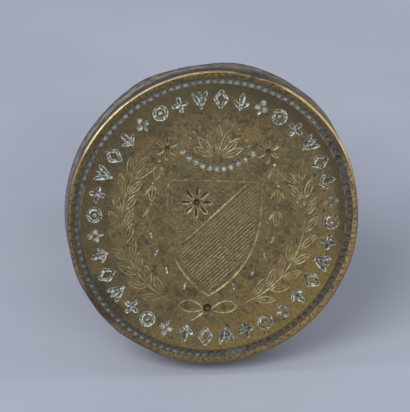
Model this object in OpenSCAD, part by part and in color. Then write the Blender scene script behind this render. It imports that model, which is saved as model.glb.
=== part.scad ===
// Hand seal: an engraved brass head screwed to a turned wooden knob, lying on its side.
// Each piece is made on the seal's own axis: z = 0 is the engraved face and z grows towards the knob.
// Seen from in front of the face, y points up and x points left. laid() then puts the seal on the floor.

/* [Seal head] */
// Diameter of the engraved face
face_d = 40; // [34:0.5:46]
// Height of the rim, from the face to the back
head_h = 8.5; // [7:0.25:11]
// Bevel round the edge of the face
face_bevel = 0.45; // [0.2:0.05:0.7]
// Rounding of the back edge
back_round = 1.2; // [0.6:0.1:2]

/* [Engraving] */
// Number of beads in the border
bead_count = 116; // [80:2:120]
// Plain edge left outside the bead border
plain_edge = 0.94; // [0.75:0.01:1.1]
// Width of the shallow channel that the beads sit in
channel_w = 0.82; // [0.7:0.02:1.1]
// Depth of the bead channel
channel_depth = 0.1; // [0.06:0.02:0.2]
// Number of ornaments in the ring round the emblem
mark_count = 36; // [24:6:42]
// Size of the ornaments, as a multiple of their drawing
mark_size = 1.14; // [0.9:0.02:1.2]
// Depth of the ornaments
mark_depth = 0.4; // [0.2:0.05:0.6]
// Depth of the emblem
emblem_depth = 0.45; // [0.2:0.05:0.7]
// Depth of the hatching in the shield
hatch_depth = 0.2; // [0.1:0.05:0.4]
// Number of lines in the hatching
hatch_count = 21; // [12:1:21]
// Width of an engraved line
line_w = 0.28; // [0.2:0.02:0.36]
// Width of the fine lines that draw the leaves
fine_w = 0.18; // [0.12:0.02:0.24]
// Number of leaf pairs on each branch
leaf_pairs = 9; // [6:1:10]

/* [Mount] */
// Diameter of the mount's foot
mount_d = 17.6; // [15:0.2:20]
// Depth that the foot sits in the head
mount_seat = 1; // [0.6:0.1:1.5]
// Height of the mount above the back of the head
mount_h = 8.5; // [8:0.25:10]
// Diameter of the mount's neck
mount_neck_d = 10; // [9.2:0.2:11]

/* [Screw] */
// Outside diameter of the rod's thread
thread_d = 6; // [5:0.25:6.5]
// Length of thread held in the mount
thread_engaged = 7; // [5:0.5:8]
// Diameter of the rod inside the wood
rod_d = 4.4; // [3.6:0.2:4.8]

/* [Washer] */
// Diameter of the leather washer
washer_d = 12.2; // [11:0.2:13]
// Thickness of the leather washer
washer_t = 0.8; // [0.5:0.1:1.5]

/* [Ferrule] */
// Outside diameter of the ferrule
ferrule_d = 13.8; // [12.8:0.2:15]
// Height of the ferrule
ferrule_h = 6.8; // [6:0.2:8]
// Thickness of the ferrule's wall and floor
ferrule_wall = 0.8; // [0.6:0.1:1]
// Diameter of the pin across the ferrule
pin_d = 1.6; // [1.2:0.1:2]

/* [Handle] */
// Diameter of the knob at its widest
knob_d = 23.2; // [21:0.2:25]
// Radius of the knob's rounding
knob_round = 8.4; // [7.6:0.1:9]
// Height of the wood above the ferrule
wood_h = 26; // [24:0.5:29]
// Diameter of the narrowest part of the wood
waist_d = 11.2; // [10.6:0.2:12.4]
// Height of the waist above the ferrule
waist_h = 4.9; // [4.6:0.1:5.4]

/* [End fittings] */
// Diameter of the end washer
rove_d = 8.8; // [8:0.2:10]
// Thickness of the end washer
rove_t = 0.8; // [0.5:0.1:1.2]
// Diameter of the cap nut
nut_d = 7.2; // [6.8:0.2:8]
// Height of the cap nut's straight side
nut_side = 0.9; // [0.6:0.1:1.4]
// Radius of the cap nut's dome
nut_dome = 4.2; // [4.1:0.1:5]
// Diameter of the index stud's head
stud_d = 2; // [1.6:0.1:2.4]

/* [Fits and pose] */
// Gap all round between pieces that are put together
fit_gap = 0.05; // [0.03:0.01:0.08]
// Turn of the seal about its own axis as it lies
lie_roll = 4; // [-10:1:10]
// Depth of the flats worn on rim and knob where the seal is always laid down
rest_wear = 0.06; // [0.03:0.01:0.1]

/* [Hidden] */
$fn = 96;

face_r = face_d / 2;
unit = face_d / 40;
bead_ring_r = face_r - plain_edge - channel_w / 2;
bead_pitch = 2 * PI * bead_ring_r / bead_count;
bead_r = min(0.46 * bead_pitch, 0.45 * channel_w);
// The thin line runs along the channel's inner edge and laps over it a little.
ring_line_r = bead_ring_r - channel_w / 2 + 0.04;
ring_line_depth = 0.15;
mark_ring_r = 16.2 * unit;
branch_r = 12.5;
hatch_pitch = 8.82 / hatch_count;
// Middle and direction of each seed strewn about the foot of the shield, on one side of it
seeds = [[8.3, -2.6, 110], [7.4, -5, 65], [5.8, -7.4, 105], [3.4, -9.2, 80]];
// Middle of each husk that hangs beside the shield and the direction it hangs in, on one side of it
husks = [[8.05, 6.1, 278], [8.55, 3.2, 270], [8.6, 0.3, 269]];

mount_foot_z = head_h - mount_seat;
mount_flange_h = 1.4;
mount_flange_z = head_h + mount_flange_h;
mount_top_z = head_h + mount_h;
mount_neck_r = mount_neck_d / 2;
mount_cove_r = mount_d / 2 - mount_neck_r - 0.9;
mount_bead_r = 0.9;
thread_r = thread_d / 2;
socket_bottom_z = mount_top_z - thread_engaged - 0.6;

washer_top_z = mount_top_z + washer_t;
wood_foot_z = washer_top_z + ferrule_wall;
ferrule_top_z = washer_top_z + ferrule_h;
ferrule_r = ferrule_d / 2;
ferrule_bead_r = 0.6;
ferrule_bead_x = ferrule_r - 0.2;
spigot_r = ferrule_r - ferrule_wall - fit_gap;
pin_z = wood_foot_z + (ferrule_h - ferrule_wall) * 0.46;
rod_r = rod_d / 2;
wood_bore_r = rod_r + fit_gap;

collar_r = 1.05;
collar_out_r = ferrule_r + 0.2;
wood_end_z = ferrule_top_z + wood_h;
waist_r = waist_d / 2;
waist_z = ferrule_top_z + waist_h;
knob_x = knob_d / 2 - knob_round;
knob_z = wood_end_z - knob_round + 0.3;
hollow_r = (pow(waist_r - knob_x, 2) + pow(knob_z - waist_z, 2) - pow(knob_round, 2))
    / (2 * (knob_round - (waist_r - knob_x)));
hollow_x = waist_r + hollow_r;
blend = knob_round / (knob_round + hollow_r);
blend_x = knob_x + (hollow_x - knob_x) * blend;
blend_z = knob_z + (waist_z - knob_z) * blend;

nut_foot_z = wood_end_z + rove_t;
nut_r = nut_d / 2;
nut_dome_z = nut_foot_z + nut_side - sqrt(pow(nut_dome, 2) - pow(nut_r, 2));
nut_top_z = nut_dome_z + nut_dome;
rod_end_z = nut_foot_z + 1.5;
nut_thread_r = rod_r - 0.2;
slot_w = 0.9;
slot_depth = 0.7;
stud_seat_y = waist_r - 0.25;
stud_peg_r = stud_d / 4;
stud_peg_l = 2.1;

// The lying seal touches the floor with the rounded back edge of its head and with the knob.
rest_z = head_h - back_round;
rest_r = face_r - back_round;
rest_span = norm([knob_z - rest_z, knob_x - rest_r]);
lie_tilt = asin((back_round - knob_round) / rest_span) - atan2(knob_x - rest_r, knob_z - rest_z);
face_up = rest_z * sin(lie_tilt) + rest_r * cos(lie_tilt) + back_round;
front_y = (face_r - face_bevel) * sin(lie_tilt);
back_y = nut_dome_z * cos(lie_tilt) + nut_dome;
face_along = (front_y - back_y) / 2;

module laid() {
    translate([0, face_along, face_up - rest_wear])
        rotate([90 + lie_tilt, 0, 180])
            rotate([0, 0, lie_roll])
                children();
}

module worn_flat() {
    translate([-2 * face_d, -2 * face_d, -face_d]) cube([4 * face_d, 4 * face_d, face_d]);
}

// Flat shapes of the engraving

module leaf_shape(l, w) {
    arc_r = (l * l + w * w) / (4 * w);
    intersection() {
        translate([0, arc_r - w / 2]) circle(arc_r);
        translate([0, w / 2 - arc_r]) circle(arc_r);
    }
}

module drawn_leaf_shape(l, w) {
    difference() {
        leaf_shape(l, w);
        leaf_shape(l - 3 * fine_w, w - 2 * fine_w);
    }
    leaf_shape(0.6 * l, 0.6 * fine_w);
}

module lozenge_shape() {
    difference() {
        polygon([[0, 1.2], [0.9, 0], [0, -1.2], [-0.9, 0]]);
        polygon([[0, 0.7], [0.52, 0], [0, -0.7], [-0.52, 0]]);
    }
}

module three_leaves_shape() {
    for (s = [-1, 1])
        translate([s * 0.5, 0.12]) rotate(90 - s * 25) leaf_shape(1.9, 0.54);
    translate([0, 0.35]) rotate(90) leaf_shape(1.4, 0.42);
    translate([0, -0.95]) circle(0.2);
}

module four_petals_shape() {
    for (a = [0, 90, 180, 270])
        rotate(a) translate([0.62, 0]) leaf_shape(0.9, 0.54);
}

module annulet_shape() {
    difference() {
        circle(0.95);
        circle(0.53);
    }
    circle(0.26);
}

module trefoil_shape() {
    translate([0, 0.6]) circle(0.38);
    for (s = [-1, 1])
        translate([s * 0.46, -0.1]) circle(0.38);
    translate([0, -0.72]) rotate(90) leaf_shape(0.8, 0.36);
}

module bud_shape() {
    translate([0, 0.3]) rotate(90) leaf_shape(1.5, 0.66);
    for (s = [-1, 1])
        translate([s * 0.55, -0.42]) rotate(90 - s * 48) leaf_shape(1.1, 0.44);
    translate([0, -0.95]) circle(0.2);
}

module mark_shape(kind) {
    if (kind == 0) lozenge_shape();
    if (kind == 1) three_leaves_shape();
    if (kind == 2) four_petals_shape();
    if (kind == 3) annulet_shape();
    if (kind == 4) trefoil_shape();
    if (kind == 5) bud_shape();
}

module shield_shape(grow) {
    w = 12.6;
    translate([-w / 2 - grow, 0]) square([w + 2 * grow, 4.5 + grow]);
    intersection() {
        translate([-w / 2, 0]) circle(w + grow);
        translate([w / 2, 0]) circle(w + grow);
        translate([-w, -2 * w]) square([2 * w, 2 * w + 0.1]);
    }
}

module hatch_shape() {
    intersection() {
        shield_shape(-0.35);
        for (i = [1:hatch_count])
            rotate(-45) translate([-12, -0.18 - i * hatch_pitch]) square([24, 0.45 * hatch_pitch]);
    }
}

module rosette_shape(size, petals) {
    for (i = [0:petals - 1])
        rotate(90 + i * 360 / petals) translate([size * 0.64, 0]) leaf_shape(0.72 * size, 0.28 * size);
    circle(size * 0.2);
}

module palmette_shape() {
    for (a = [-66:22:66])
        rotate(90 + a) translate([2.75 - abs(a) * 0.008, 0]) drawn_leaf_shape(3.9 - abs(a) * 0.014, 0.95);
    for (a = [-77:11:77])
        rotate(90 + a) translate([5.35 - abs(a) * 0.012, 0]) leaf_shape(0.7, fine_w);
}

module branch_shape() {
    step = 84 / (leaf_pairs - 1);
    intersection() {
        difference() {
            circle(branch_r + line_w / 2);
            circle(branch_r - line_w / 2);
        }
        rotate(-64) square([40, 40]);
    }
    for (i = [0:leaf_pairs - 1])
        rotate(-58 + i * step)
            for (s = [-1, 1])
                translate([branch_r + s * 1.05, 0.9]) rotate(90 - s * 30) drawn_leaf_shape(2.7, 0.92);
    rotate(34) translate([branch_r, 0]) rotate(92) drawn_leaf_shape(2.9, 0.95);
}

module ribbon_shape() {
    translate([0, -12.3]) circle(0.72);
    for (s = [-1, 1]) {
        difference() {
            translate([s * 2.35, -12.05]) rotate(s * 10) leaf_shape(3.5, 1.8);
            translate([s * 2.35, -12.05]) rotate(s * 10) leaf_shape(2.5, 1.0);
        }
        translate([s * 1.15, -13.35]) rotate(s * -42) leaf_shape(2.3, 0.7);
    }
}

module swag_shape() {
    for (i = [-5:5])
        translate([i * 0.96, 6.75 + i * i * 0.088]) circle(0.42);
}

module seeds_shape() {
    for (s = seeds)
        translate([s[0], s[1]]) rotate(s[2]) leaf_shape(0.95, 0.26);
}

module husk_shape() {
    drawn_leaf_shape(2.3, 0.85);
    for (s = [-1, 1])
        translate([-0.35, s * 0.62]) rotate(s * 28) leaf_shape(1.5, 0.3);
    translate([-1.45, 0]) circle(0.2);
}

module husks_shape() {
    for (h = husks)
        translate([h[0], h[1]]) rotate(h[2]) husk_shape();
}

module cut(depth) {
    translate([0, 0, -1]) linear_extrude(1 + depth) scale(unit) children();
}

// Pieces

module seal_head() {
    color("darkgoldenrod") difference() {
        laid() engraved_disc();
        worn_flat();
    }
}

module engraved_disc() {
    difference() {
        rotate_extrude() difference() {
            union() {
                square([face_r - back_round, head_h]);
                square([face_r, head_h - back_round]);
                translate([face_r - back_round, head_h - back_round]) circle(back_round);
            }
            polygon([[face_r - face_bevel, -0.1], [face_r - face_bevel, 0], [face_r, face_bevel],
                [face_r + 0.1, face_bevel], [face_r + 0.1, -0.1]]);
        }
        translate([0, 0, mount_foot_z]) cylinder(r = mount_d / 2 + fit_gap, h = mount_seat + 1);
        translate([0, 0, -1]) difference() {
            cylinder(r = bead_ring_r + channel_w / 2, h = 1 + channel_depth);
            translate([0, 0, -1]) cylinder(r = bead_ring_r - channel_w / 2, h = 3);
        }
        for (i = [0:bead_count - 1])
            rotate(i * 360 / bead_count)
                translate([bead_ring_r, 0, channel_depth - bead_r * 0.15]) sphere(bead_r);
        translate([0, 0, -1]) difference() {
            cylinder(r = ring_line_r, h = 1 + ring_line_depth);
            translate([0, 0, -1]) cylinder(r = ring_line_r - fine_w, h = 3);
        }
        for (i = [0:mark_count - 1])
            rotate(-i * 360 / mark_count)
                translate([0, mark_ring_r, 0]) cut(mark_depth) scale(mark_size) mark_shape(i % 6);
        translate([0, 0.5 * unit, 0]) {
            cut(emblem_depth) difference() {
                shield_shape(line_w);
                shield_shape(0);
            }
            cut(emblem_depth) intersection() {
                shield_shape(line_w / 2);
                rotate(-45) translate([-12, -line_w / 2]) square([24, line_w]);
            }
            cut(hatch_depth) hatch_shape();
            cut(emblem_depth) translate([2.4, 1.6]) rosette_shape(2.3, 8);
        }
        for (s = [0, 1])
            mirror([s, 0, 0]) {
                cut(emblem_depth) branch_shape();
                cut(emblem_depth) husks_shape();
                cut(hatch_depth) seeds_shape();
            }
        cut(emblem_depth) ribbon_shape();
        cut(emblem_depth) translate([0, 8.1]) palmette_shape();
        cut(emblem_depth) swag_shape();
        for (s = [-1, 1])
            cut(emblem_depth) translate([s * 6.9, 9.3]) rosette_shape(1.7, 6);
    }
}

module back_mount() {
    color("goldenrod") laid() difference() {
        rotate_extrude() {
            translate([0, mount_foot_z]) square([mount_d / 2, mount_flange_z - mount_foot_z]);
            difference() {
                translate([0, mount_flange_z - 0.1]) square([mount_neck_r + mount_cove_r, mount_cove_r + 0.1]);
                translate([mount_neck_r + mount_cove_r, mount_flange_z + mount_cove_r]) circle(mount_cove_r);
            }
            translate([0, mount_flange_z]) square([mount_neck_r, mount_h - mount_flange_h]);
            translate([mount_neck_r + 0.5, mount_top_z - mount_bead_r]) circle(mount_bead_r);
            translate([0, mount_top_z - 2 * mount_bead_r]) square([mount_neck_r + 0.5, 2 * mount_bead_r]);
        }
        translate([0, 0, socket_bottom_z]) cylinder(r = thread_r + fit_gap, h = 20);
    }
}

module leather_washer() {
    color("saddlebrown") laid() difference() {
        translate([0, 0, mount_top_z]) cylinder(r = washer_d / 2, h = washer_t);
        translate([0, 0, mount_top_z - 1]) cylinder(r = thread_r + 2 * fit_gap, h = washer_t + 2);
    }
}

module ferrule() {
    color("goldenrod") laid() difference() {
        rotate_extrude() {
            translate([0, washer_top_z]) square([ferrule_r, ferrule_h]);
            translate([ferrule_bead_x, ferrule_top_z - ferrule_bead_r]) circle(ferrule_bead_r);
            translate([ferrule_bead_x, washer_top_z + ferrule_bead_r]) circle(ferrule_bead_r);
        }
        translate([0, 0, wood_foot_z]) cylinder(r = ferrule_r - ferrule_wall, h = ferrule_h);
        translate([0, 0, washer_top_z - 1]) cylinder(r = thread_r + fit_gap, h = 3);
        translate([0, 0, pin_z]) rotate([0, 90, 0]) cylinder(r = pin_d / 2 + fit_gap, h = 40, center = true);
    }
}

module cross_pin() {
    color("gray") laid()
        translate([0, 0, pin_z]) rotate([0, 90, 0]) cylinder(r = pin_d / 2, h = ferrule_d + 0.2, center = true);
}

module handle_knob() {
    color("sienna") difference() {
        laid() turned_knob();
        worn_flat();
    }
}

module turned_knob() {
    difference() {
        rotate_extrude() {
            translate([0, wood_foot_z]) square([spigot_r, ferrule_top_z - wood_foot_z]);
            translate([0, ferrule_top_z]) square([collar_out_r - collar_r, 2 * collar_r]);
            translate([collar_out_r - collar_r, ferrule_top_z + collar_r]) circle(collar_r);
            difference() {
                translate([0, ferrule_top_z + collar_r]) square([blend_x, blend_z - ferrule_top_z - collar_r]);
                translate([hollow_x, waist_z]) circle(hollow_r);
            }
            intersection() {
                union() {
                    translate([knob_x, knob_z]) circle(knob_round);
                    translate([0, knob_z - knob_round]) square([knob_x, 2 * knob_round]);
                }
                translate([0, blend_z]) square([knob_d, wood_end_z - blend_z]);
            }
        }
        translate([0, 0, wood_foot_z - 1]) cylinder(r = wood_bore_r, h = wood_end_z - wood_foot_z + 2);
        translate([0, 0, pin_z]) rotate([0, 90, 0]) cylinder(r = pin_d / 2 + fit_gap, h = 40, center = true);
        translate([0, stud_seat_y, waist_z]) rotate([-90, 0, 0]) cylinder(r = stud_d / 2 + fit_gap, h = 10);
        translate([0, stud_seat_y - stud_peg_l - 0.1, waist_z]) rotate([-90, 0, 0])
            cylinder(r = stud_peg_r + fit_gap, h = 10);
    }
}

module tie_rod() {
    color("dimgray") laid() difference() {
        union() {
            translate([0, 0, socket_bottom_z + 0.6]) cylinder(r1 = thread_r - 0.5, r2 = thread_r, h = 0.5);
            translate([0, 0, socket_bottom_z + 1.1]) cylinder(r = thread_r, h = wood_foot_z - socket_bottom_z - 1.1);
            translate([0, 0, wood_foot_z - 1]) cylinder(r = rod_r, h = nut_foot_z - wood_foot_z + 1);
            translate([0, 0, nut_foot_z - 1]) cylinder(r = nut_thread_r, h = rod_end_z - nut_foot_z + 1);
        }
        translate([0, 0, pin_z]) rotate([0, 90, 0]) cylinder(r = pin_d / 2 + fit_gap, h = 40, center = true);
    }
}

module rove() {
    color("goldenrod") laid() difference() {
        translate([0, 0, wood_end_z]) cylinder(r = rove_d / 2, h = rove_t);
        translate([0, 0, wood_end_z - 1]) cylinder(r = rod_r + fit_gap, h = rove_t + 2);
    }
}

module cap_nut() {
    color("goldenrod") laid() difference() {
        union() {
            translate([0, 0, nut_foot_z]) cylinder(r = nut_r, h = nut_side);
            intersection() {
                translate([0, 0, nut_dome_z]) sphere(nut_dome);
                translate([0, 0, nut_foot_z + nut_side / 2]) cylinder(r = nut_r, h = 2 * nut_dome);
            }
        }
        translate([0, 0, nut_foot_z - 1]) cylinder(r = nut_thread_r + fit_gap, h = rod_end_z - nut_foot_z + 1.1);
        translate([-nut_d, -slot_w / 2, nut_top_z - slot_depth]) cube([2 * nut_d, slot_w, 2]);
    }
}

module index_stud() {
    color("gold") laid() translate([0, stud_seat_y, waist_z]) rotate([-90, 0, 0]) {
        translate([0, 0, -stud_peg_l]) cylinder(r = stud_peg_r, h = stud_peg_l + 0.1);
        cylinder(r = stud_d / 2, h = 0.35);
        intersection() {
            translate([0, 0, 0.7 - stud_d * 0.8]) sphere(stud_d * 0.8);
            cylinder(r = stud_d / 2, h = 2);
        }
    }
}

seal_head();
back_mount();
leather_washer();
ferrule();
cross_pin();
handle_knob();
tie_rod();
rove();
cap_nut();
index_stud();
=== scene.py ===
import bpy
import math
import random
from mathutils import Matrix, Vector


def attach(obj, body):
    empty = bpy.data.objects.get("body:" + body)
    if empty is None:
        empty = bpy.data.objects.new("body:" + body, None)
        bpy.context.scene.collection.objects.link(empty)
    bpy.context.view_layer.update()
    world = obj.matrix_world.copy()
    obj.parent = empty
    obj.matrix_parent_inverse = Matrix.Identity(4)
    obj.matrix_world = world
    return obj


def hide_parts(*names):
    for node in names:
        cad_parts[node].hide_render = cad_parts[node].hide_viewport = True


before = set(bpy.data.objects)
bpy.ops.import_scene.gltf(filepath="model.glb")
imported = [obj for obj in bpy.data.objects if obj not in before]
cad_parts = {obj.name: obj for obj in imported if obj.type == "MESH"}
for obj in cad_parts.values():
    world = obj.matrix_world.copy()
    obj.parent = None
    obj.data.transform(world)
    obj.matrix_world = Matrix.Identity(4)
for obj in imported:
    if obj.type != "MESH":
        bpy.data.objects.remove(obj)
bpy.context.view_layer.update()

# Every size below is in millimetres on the seal's own axis, as in the part's source: the engraved face is
# z = 0, z grows towards the knob, y points up and x points left as one looks at the face.
MM = 0.001
LIE_TILT, LIE_ROLL = 13.1241, 4.0
FACE_UP, FACE_ALONG = 21.1065, -24.294
FACE_R, HEAD_H = 20.0, 8.5
BACK_ROUND, RIM_ROUND = 1.2, 0.3
RECESS_R, RECESS_Z = 8.85, 7.5
# The head is hand-filed: longer along an axis of so many degrees from the horizontal than across it.
LONG_AXIS, LONG, SHORT = 67, 1.006, 0.976
# Dents in the rim: angle as the photograph shows it, height, how far out, and reach. All within DENT_CORE
# of that place is pushed by the whole amount.
DENTS = ((100, 7.2, -0.36, 6.0), (135, 7.2, -0.15, 6.0), (88, 7.2, -0.14, 3.5), (40, 7.2, 0.16, 4.0),
         (8, 0.4, -0.16, 4.5), (212, 0.4, -0.07, 1.8), (223, 0.4, -0.06, 1.6), (183, 0.4, -0.2, 6.0),
         (-4, 0.4, -0.1, 4.0), (240, 0.4, -0.15, 4.0), (75.5, 0.4, -0.2, 2.2), (68.5, 0.4, -0.1, 1.8))
DENT_CORE = 0.9
# Knocks in the face's edge: angle, radius, and half sizes along the edge, across it and deep.
KNOCKS = ((73.2, 19.8, 0.66, 0.5, 0.42), (71.4, 20.0, 0.4, 0.3, 0.5))

# The border: beads punched into a channel, each off its place by up to BEAD_OFF, and a thin line beside it.
BEAD_RING_R, BEADS, BEAD_R = 18.65, 116, 0.4
BEAD_OFF, BEAD_SMALLEST, BEAD_LARGEST = 0.05, 0.88, 1.06
BEAD_SUNK, BEAD_DEPTH_SHARE = 0.08, 0.6
CHANNEL_W, CHANNEL_DEPTH = 0.82, 0.1
LINE_RING_R, LINE_RING_W = 18.18, 0.16

# The design inside the border, as (right, up) on the face.
MARK_RING_R, MARKS, MARK_SIZE = 16.2, 36, 1.14
SHIELD_HALF, SHIELD_TOP, SHIELD_WAIST, SHIELD_SWEEP = 6.3, 5.0, 0.5, 12.6
SHIELD_LINE_W, PARTING_W = 0.3, 0.28
PARTING = ((-3.9, -3.4), (-2, -1.5), (2, 2.5), (4.35, 4.85))
HATCH_LINES, HATCH_FIRST, HATCH_PITCH, HATCH_W, HATCH_MARGIN = 21, 0.6, 0.42, 0.17, 0.4
DIAGONAL = 0.70711
BRANCH_R, LEAF_PAIRS, LEAF_FIRST, LEAF_SPAN = 12.5, 9, -58, 84
PALMETTE_UP = 8.1
PEARLS_EACH_SIDE, PEARL_PITCH, PEARL_UP, PEARL_SAG, PEARL_R = 5, 0.96, 6.75, 0.088, 0.42
# Middle and direction of each seed about the shield's foot, and of each husk in the chain at its right.
SEEDS = ((-8.3, -2.6, 110), (-7.5, -4.9, 65), (-5.9, -7.3, 105), (-3.3, -9.3, 80),
         (8.3, -2.7, 70), (7.4, -5.0, 110), (5.8, -7.4, 75), (3.4, -9.2, 105))
HUSKS = ((8.05, 6.1, -82), (8.55, 3.2, -90), (8.6, 0.3, -91))
# Middle, size and number of petals of each rosette, and middle and radius of the ribbon's knot.
ROSETTES = ((-2.4, 2.1, 2.3, 8), (-6.9, 9.3, 1.7, 6), (6.9, 9.3, 1.7, 6))
RIBBON_KNOT = (0, -12.3, 0.6)
THINNEST_HALF = 0.06

# The handle: height of the cross pin, place of the stud, and the rod's thread.
PIN_Z = 21.36
STUD_Y, STUD_Z = 5.35, 29.5
THREAD_R, THREAD_Z, THREAD_HALF, THREAD_TURNS, THREAD_STEPS, RUN_OUT_STEPS = 2.52, 10.5, 0.46, 6, 48, 30
CROSSWISE, UPRIGHT = (0, math.pi / 2, 0), (-math.pi / 2, 0, 0)

# The picture: its width and scale, and how far the face's middle is right of and below its own, in pixels.
PICTURE_W, PIXELS_PER_MM = 410, 7.487
FACE_RIGHT, FACE_DOWN = 8.2, 12.4
CAMERA_ACROSS, CAMERA_ABOVE_AXIS, CAMERA_AWAY, SENSOR_W = -4.0, 12.07, 0.5, 36
# Name, place in metres, width, height and power of each light.
LIGHTS = (("window_light", (-0.62, -0.98, 0.92), 0.80, 0.80, 16.6),
          ("second_light", (0.45, -1.26, 0.57), 0.90, 0.75, 7.6),
          ("left_strip", (-0.62, -0.02, 0.50), 0.09, 0.70, 0.8),
          ("right_strip", (0.62, 0.02, 0.46), 0.09, 0.70, 0.8))
ROOM_COLOUR, ROOM_STRENGTH = (0.82, 0.86, 0.94, 1), 0.48

LAID = (Matrix.Translation((0, FACE_ALONG * MM, FACE_UP * MM)) @ Matrix.Rotation(math.pi, 4, 'Z')
        @ Matrix.Rotation(math.radians(90 + LIE_TILT), 4, 'X')
        @ Matrix.Rotation(math.radians(LIE_ROLL), 4, 'Z'))


def polar(radius, angle):
    """A point at a radius and an angle in degrees."""
    a = math.radians(angle)
    return radius * math.cos(a), radius * math.sin(a)


def rim_place(angle, radius):
    """A place on the face's plane, from an angle as the photograph shows it, 90 degrees being its top."""
    across, up = polar(radius, angle + LIE_ROLL)
    return -across, up


# On the face: the direction to its lower right, and the green spot at the foot of the border.
LOWER_RIGHT = (-0.7071, -0.7071)
VERDIGRIS = (*rim_place(-82.0, 18.8), 1.1, 0.5)


# Modelling by hand

def only(piece):
    """Select one object and no other."""
    bpy.ops.object.select_all(action='DESELECT')
    piece.select_set(True)
    bpy.context.view_layer.objects.active = piece


def settle(piece):
    """Put the object's own place, turn and scale into its mesh."""
    only(piece)
    bpy.ops.object.transform_apply(location=True, rotation=True, scale=True)


def fitted(piece, turn, y, z):
    """Turn a piece and move it to its place on the handle, all in its mesh."""
    piece.rotation_euler = turn
    piece.location = (0, y * MM, z * MM)
    settle(piece)
    return piece


def paint(piece, finish):
    """Give a whole piece one finish."""
    piece.data.materials.clear()
    piece.data.materials.append(finish)


def arc(r, z, radius, start, end, steps):
    """Points of an outline along an arc about (r, z), from one angle to another in degrees."""
    points = [polar(radius, start + (end - start) * i / steps) for i in range(steps + 1)]
    return [(r + out, z + up) for out, up in points]


def turned(name, outline, ring=False, sides=128):
    """Turn an outline of (radius, height) points, loop by loop. A ring's outline closes on itself."""
    bpy.ops.object.select_all(action='DESELECT')
    r, z = outline[0]
    bpy.ops.mesh.primitive_circle_add(vertices=sides, radius=r * MM, fill_type='NOTHING',
                                      location=(0, 0, z * MM))
    piece = bpy.context.object
    piece.name = name
    settle(piece)
    bpy.ops.object.mode_set(mode='EDIT')
    bpy.ops.mesh.select_all(action='SELECT')
    for r_next, z_next in outline[1:]:
        bpy.ops.mesh.extrude_edges_move(TRANSFORM_OT_translate={"value": (0, 0, (z_next - z) * MM)})
        bpy.ops.transform.resize(value=(r_next / r, r_next / r, 1), center_override=(0, 0, z_next * MM))
        r, z = r_next, z_next
    bpy.ops.mesh.select_all(action='DESELECT')
    bpy.ops.mesh.select_non_manifold()
    if ring:
        bpy.ops.mesh.bridge_edge_loops()
    else:
        bpy.ops.mesh.edge_face_add()
    bpy.ops.mesh.select_all(action='SELECT')
    bpy.ops.mesh.normals_make_consistent(inside=False)
    bpy.ops.object.mode_set(mode='OBJECT')
    return piece


def with_boolean(piece, other, operation='DIFFERENCE'):
    """Cut another object away from a piece, or join it on, and remove that object."""
    only(piece)
    change = piece.modifiers.new("change", 'BOOLEAN')
    change.operation = operation
    change.solver = 'MANIFOLD'
    change.material_mode = 'TRANSFER'
    change.object = other
    bpy.ops.object.modifier_apply(modifier=change.name)
    bpy.data.objects.remove(other)


def bars(lines):
    """Solid bars that stand on edge, along lines of (x, y, z, half width) points that may be closed."""
    bpy.ops.object.select_all(action='DESELECT')
    bpy.ops.curve.primitive_bezier_curve_add()
    path = bpy.context.object.data
    path.splines.clear()
    path.dimensions = '3D'
    path.twist_mode = 'Z_UP'
    path.bevel_depth = MM
    path.bevel_resolution = 0
    path.use_fill_caps = True
    for line, closed in lines:
        spline = path.splines.new('POLY')
        spline.points.add(len(line) - 1)
        spline.use_cyclic_u = closed
        for point, (x, y, z, half) in zip(spline.points, line):
            point.co = (x * MM, y * MM, z * MM, 1)
            point.radius = half
    bpy.ops.object.convert(target='MESH')
    piece = bpy.context.object
    settle(piece)
    bpy.ops.object.mode_set(mode='EDIT')
    bpy.ops.mesh.select_all(action='SELECT')
    bpy.ops.mesh.remove_doubles(threshold=1e-7)
    bpy.ops.mesh.normals_make_consistent(inside=False)
    bpy.ops.object.mode_set(mode='OBJECT')
    return piece


def smooth(piece, angle):
    """Shade curved surfaces smoothly and keep the broad flat ones even up to their edges."""
    only(piece)
    bpy.ops.object.shade_smooth_by_angle(angle=math.radians(angle))
    bpy.ops.object.modifier_add(type='WEIGHTED_NORMAL')
    even = piece.modifiers[-1]
    even.keep_sharp = True
    even.weight = 90
    bpy.ops.object.modifier_apply(modifier=even.name)


def ground_away(piece):
    """Take off what would be under the floor: the flat that has been worn where the piece lies."""
    bpy.ops.object.select_all(action='DESELECT')
    bpy.ops.mesh.primitive_cube_add(size=0.2, location=(0, 0, -0.1))
    block = bpy.context.object
    settle(block)
    with_boolean(piece, block)


def hand_over(piece, node, body, finish=None, angle=32, worn=False):
    """Lay a finished piece down in the photograph's pose and give it the node's place in the model."""
    if finish:
        paint(piece, finish)
    piece.matrix_world = LAID @ piece.matrix_world
    settle(piece)
    if worn:
        ground_away(piece)
    smooth(piece, angle)
    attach(piece, body)
    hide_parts(node)


# Finishes

def rgb(*screen):
    """A linear colour from red, green and blue screen values of 0 to 255."""
    linear = [(c / 255 / 12.92) if c <= 10 else ((c / 255 + 0.055) / 1.055) ** 2.4 for c in screen]
    return (*linear, 1.0)


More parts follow.
